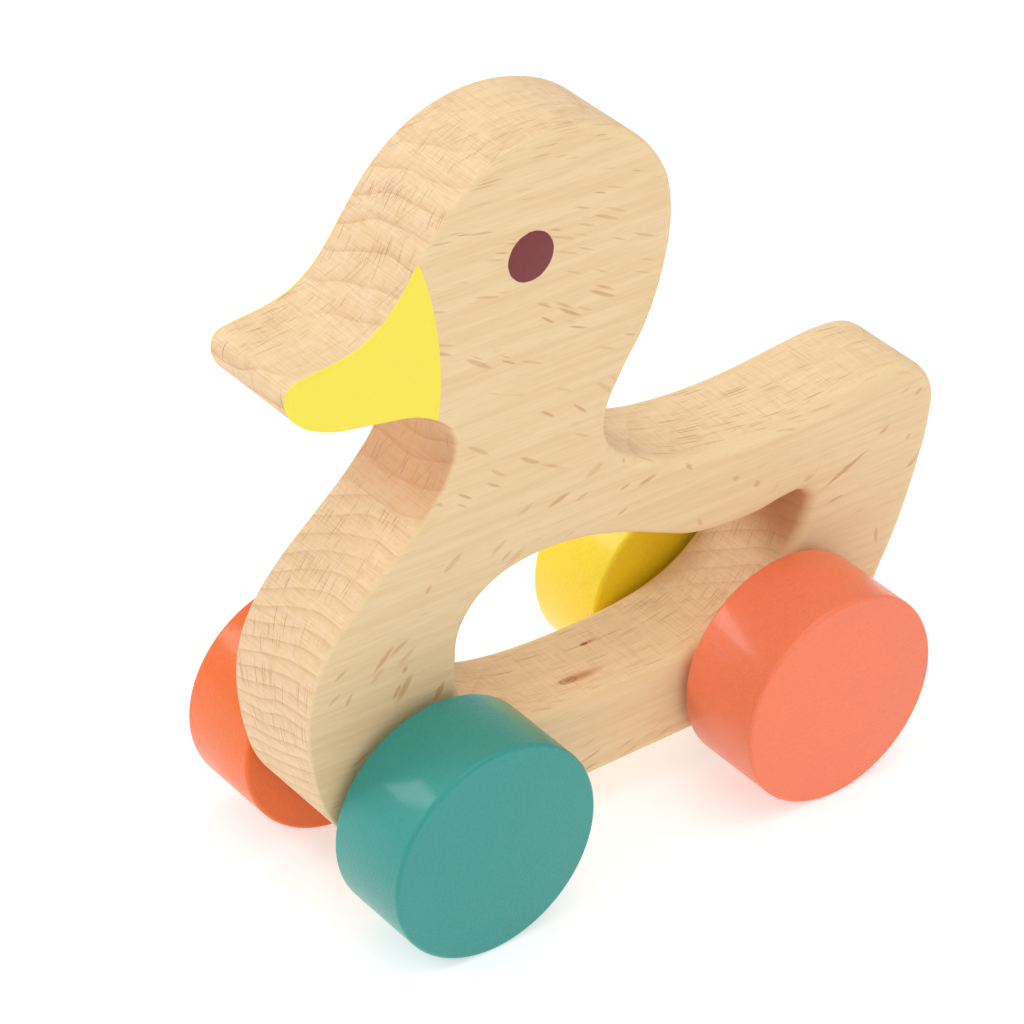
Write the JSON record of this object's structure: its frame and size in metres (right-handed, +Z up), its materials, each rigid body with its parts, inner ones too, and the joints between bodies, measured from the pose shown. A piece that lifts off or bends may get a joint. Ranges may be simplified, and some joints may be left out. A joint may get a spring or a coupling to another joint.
{
  "type": "push along toy duck",
  "caption": "Wooden duck sawn from one thick board with a grip opening through its back, painted bill and eyes, rolling on painted wheels glued to dowel axles.",
  "frame": {"origin": "centre of the toy's box in plan, on the surface that the wheels stand on", "axes": "+X the way the duck faces, +Y to its left, +Z up"},
  "size_m": [0.1362, 0.06, 0.1364],
  "materials": {
    "beech": "sanded, oiled",
    "dowel_beech": "sanded, raw",
    "bill_yellow": "satin paint film",
    "eye_maroon": "satin paint film",
    "wheel_teal": "satin paint on wood",
    "wheel_coral": "satin paint on wood",
    "wheel_orange": "satin paint on wood",
    "wheel_yellow": "satin paint on wood"
  },
  "bodies": {
    "board": {"duck_body": "beech", "left_bill_paint": "bill_yellow", "right_bill_paint": "bill_yellow", "left_eye_paint": "eye_maroon", "right_eye_paint": "eye_maroon"},
    "front_wheelset": {"front_axle": "dowel_beech", "front_left_wheel": "wheel_teal", "front_right_wheel": "wheel_orange"},
    "rear_wheelset": {"rear_axle": "dowel_beech", "rear_left_wheel": "wheel_coral", "rear_right_wheel": "wheel_yellow"}
  },
  "joints": [
    {"name": "front_axle_spin", "type": "hinge", "parent": "board", "child": "front_wheelset", "pos_m": [0.04033, 0, 0.02], "axis": [0, 1, 0], "continuous": true},
    {"name": "rear_axle_spin", "type": "hinge", "parent": "board", "child": "rear_wheelset", "pos_m": [-0.03247, 0, 0.02], "axis": [0, 1, 0], "continuous": true}
  ]
}
